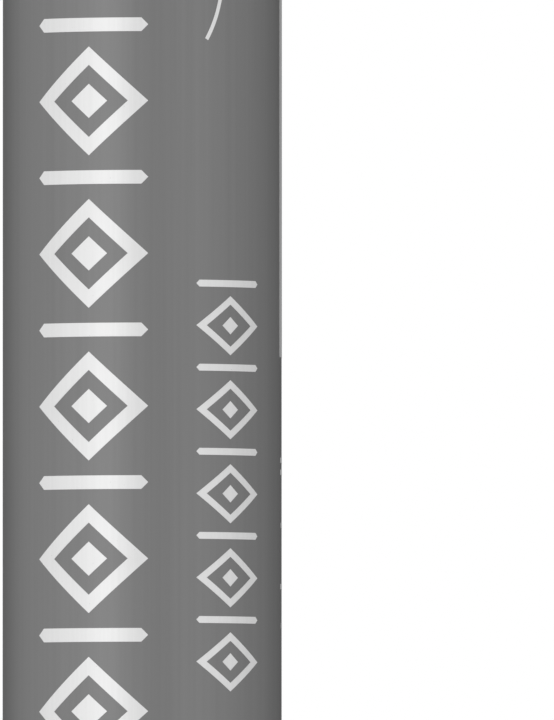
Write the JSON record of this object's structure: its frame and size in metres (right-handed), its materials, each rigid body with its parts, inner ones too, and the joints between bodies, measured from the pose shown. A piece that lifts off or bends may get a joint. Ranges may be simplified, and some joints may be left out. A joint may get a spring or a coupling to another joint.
{
  "type": "twist-up eyeliner pencil",
  "caption": "Slim round twist-up eyeliner pencil with a pull-off cap, a twist knob that screws the lead in and out, and a pull-out sharpener in the rear end.",
  "frame": {"origin": "centre of the cap's flat end, on which the closed pencil stands", "axes": "+Z along the pencil's axis from the cap's end towards the twist knob; +X through the blade side of the sharpener"},
  "size_m": [0.009, 0.009, 0.138],
  "materials": {
    "satin_grey": "satin lacquer with silver foil print",
    "black_plastic": "moulded, soft gloss",
    "pale_plastic": "natural moulded",
    "steel": "ground",
    "rubber": "matt",
    "lead_grey": "waxy"
  },
  "bodies": {
    "cap": {"cap_shell": "satin_grey", "cap_liner": "pale_plastic"},
    "barrel": {"barrel_tube": "satin_grey", "neck_sleeve": "black_plastic", "nozzle": "black_plastic", "guide_tube": "pale_plastic", "rear_bush": "pale_plastic"},
    "knob": {"knob_shell": "satin_grey", "knob_core": "black_plastic", "screw_spindle": "pale_plastic", "retaining_clip": "steel", "friction_ring": "rubber"},
    "carrier": {"carrier_nut": "pale_plastic", "push_rod": "pale_plastic", "lead_cup": "pale_plastic", "lead": "lead_grey"},
    "sharpener": {"sharpener_body": "black_plastic", "sharpener_blade": "steel", "end_button": "satin_grey"}
  },
  "joints": [
    {"name": "cap_pull", "type": "slide", "parent": "cap", "child": "barrel", "axis": [0, 0, 1], "range_m": [0, 0.07]},
    {"name": "knob_twist", "type": "hinge", "parent": "barrel", "child": "knob", "pos_m": [0, 0, 0.1216], "axis": [0, 0, -1], "range_deg": [0, 2880]},
    {"name": "lead_feed", "type": "slide", "parent": "barrel", "child": "carrier", "axis": [0, 0, -1], "range_m": [0, 0.022]},
    {"name": "sharpener_pull", "type": "slide", "parent": "knob", "child": "sharpener", "axis": [0, 0, 1], "range_m": [0, 0.016]}
  ],
  "couplings": [
    {"joint": "knob_twist", "follows": "lead_feed", "rad_per_m": 2284.8}
  ]
}
